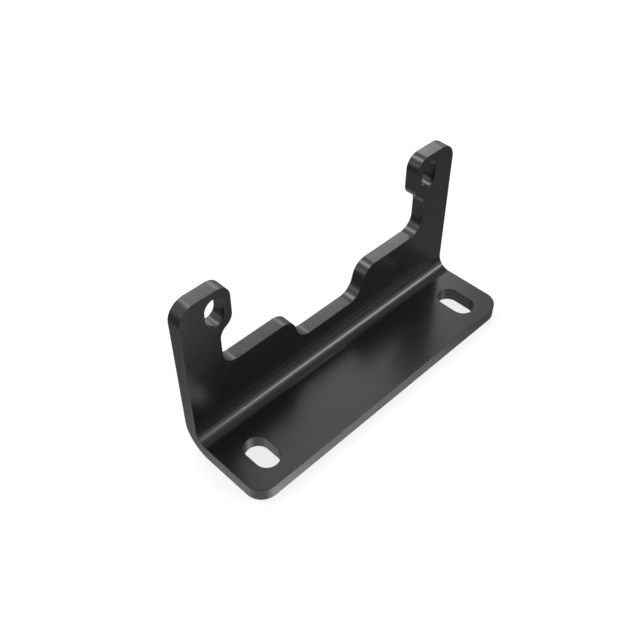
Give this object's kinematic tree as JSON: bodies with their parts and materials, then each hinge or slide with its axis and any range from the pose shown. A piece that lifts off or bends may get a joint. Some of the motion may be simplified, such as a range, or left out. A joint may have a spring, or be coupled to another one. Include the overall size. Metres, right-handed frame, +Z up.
{
  "type": "air line bracket",
  "caption": "Black coated sheet steel angle bracket: slotted base, and a notched upright whose two slotted ears hold air lines.",
  "frame": {"origin": "middle of the bracket's footprint, on the underside of the base", "axes": "+X along the bend, to the right seen from the open front; +Y from the base's front edge towards the upright; +Z up along the ears"},
  "size_m": [0.1174, 0.034, 0.06],
  "materials": {
    "coated_steel": "satin black powder coat on sheet steel"
  },
  "bodies": {
    "root": {"bracket": "coated_steel"}
  },
  "joints": []
}
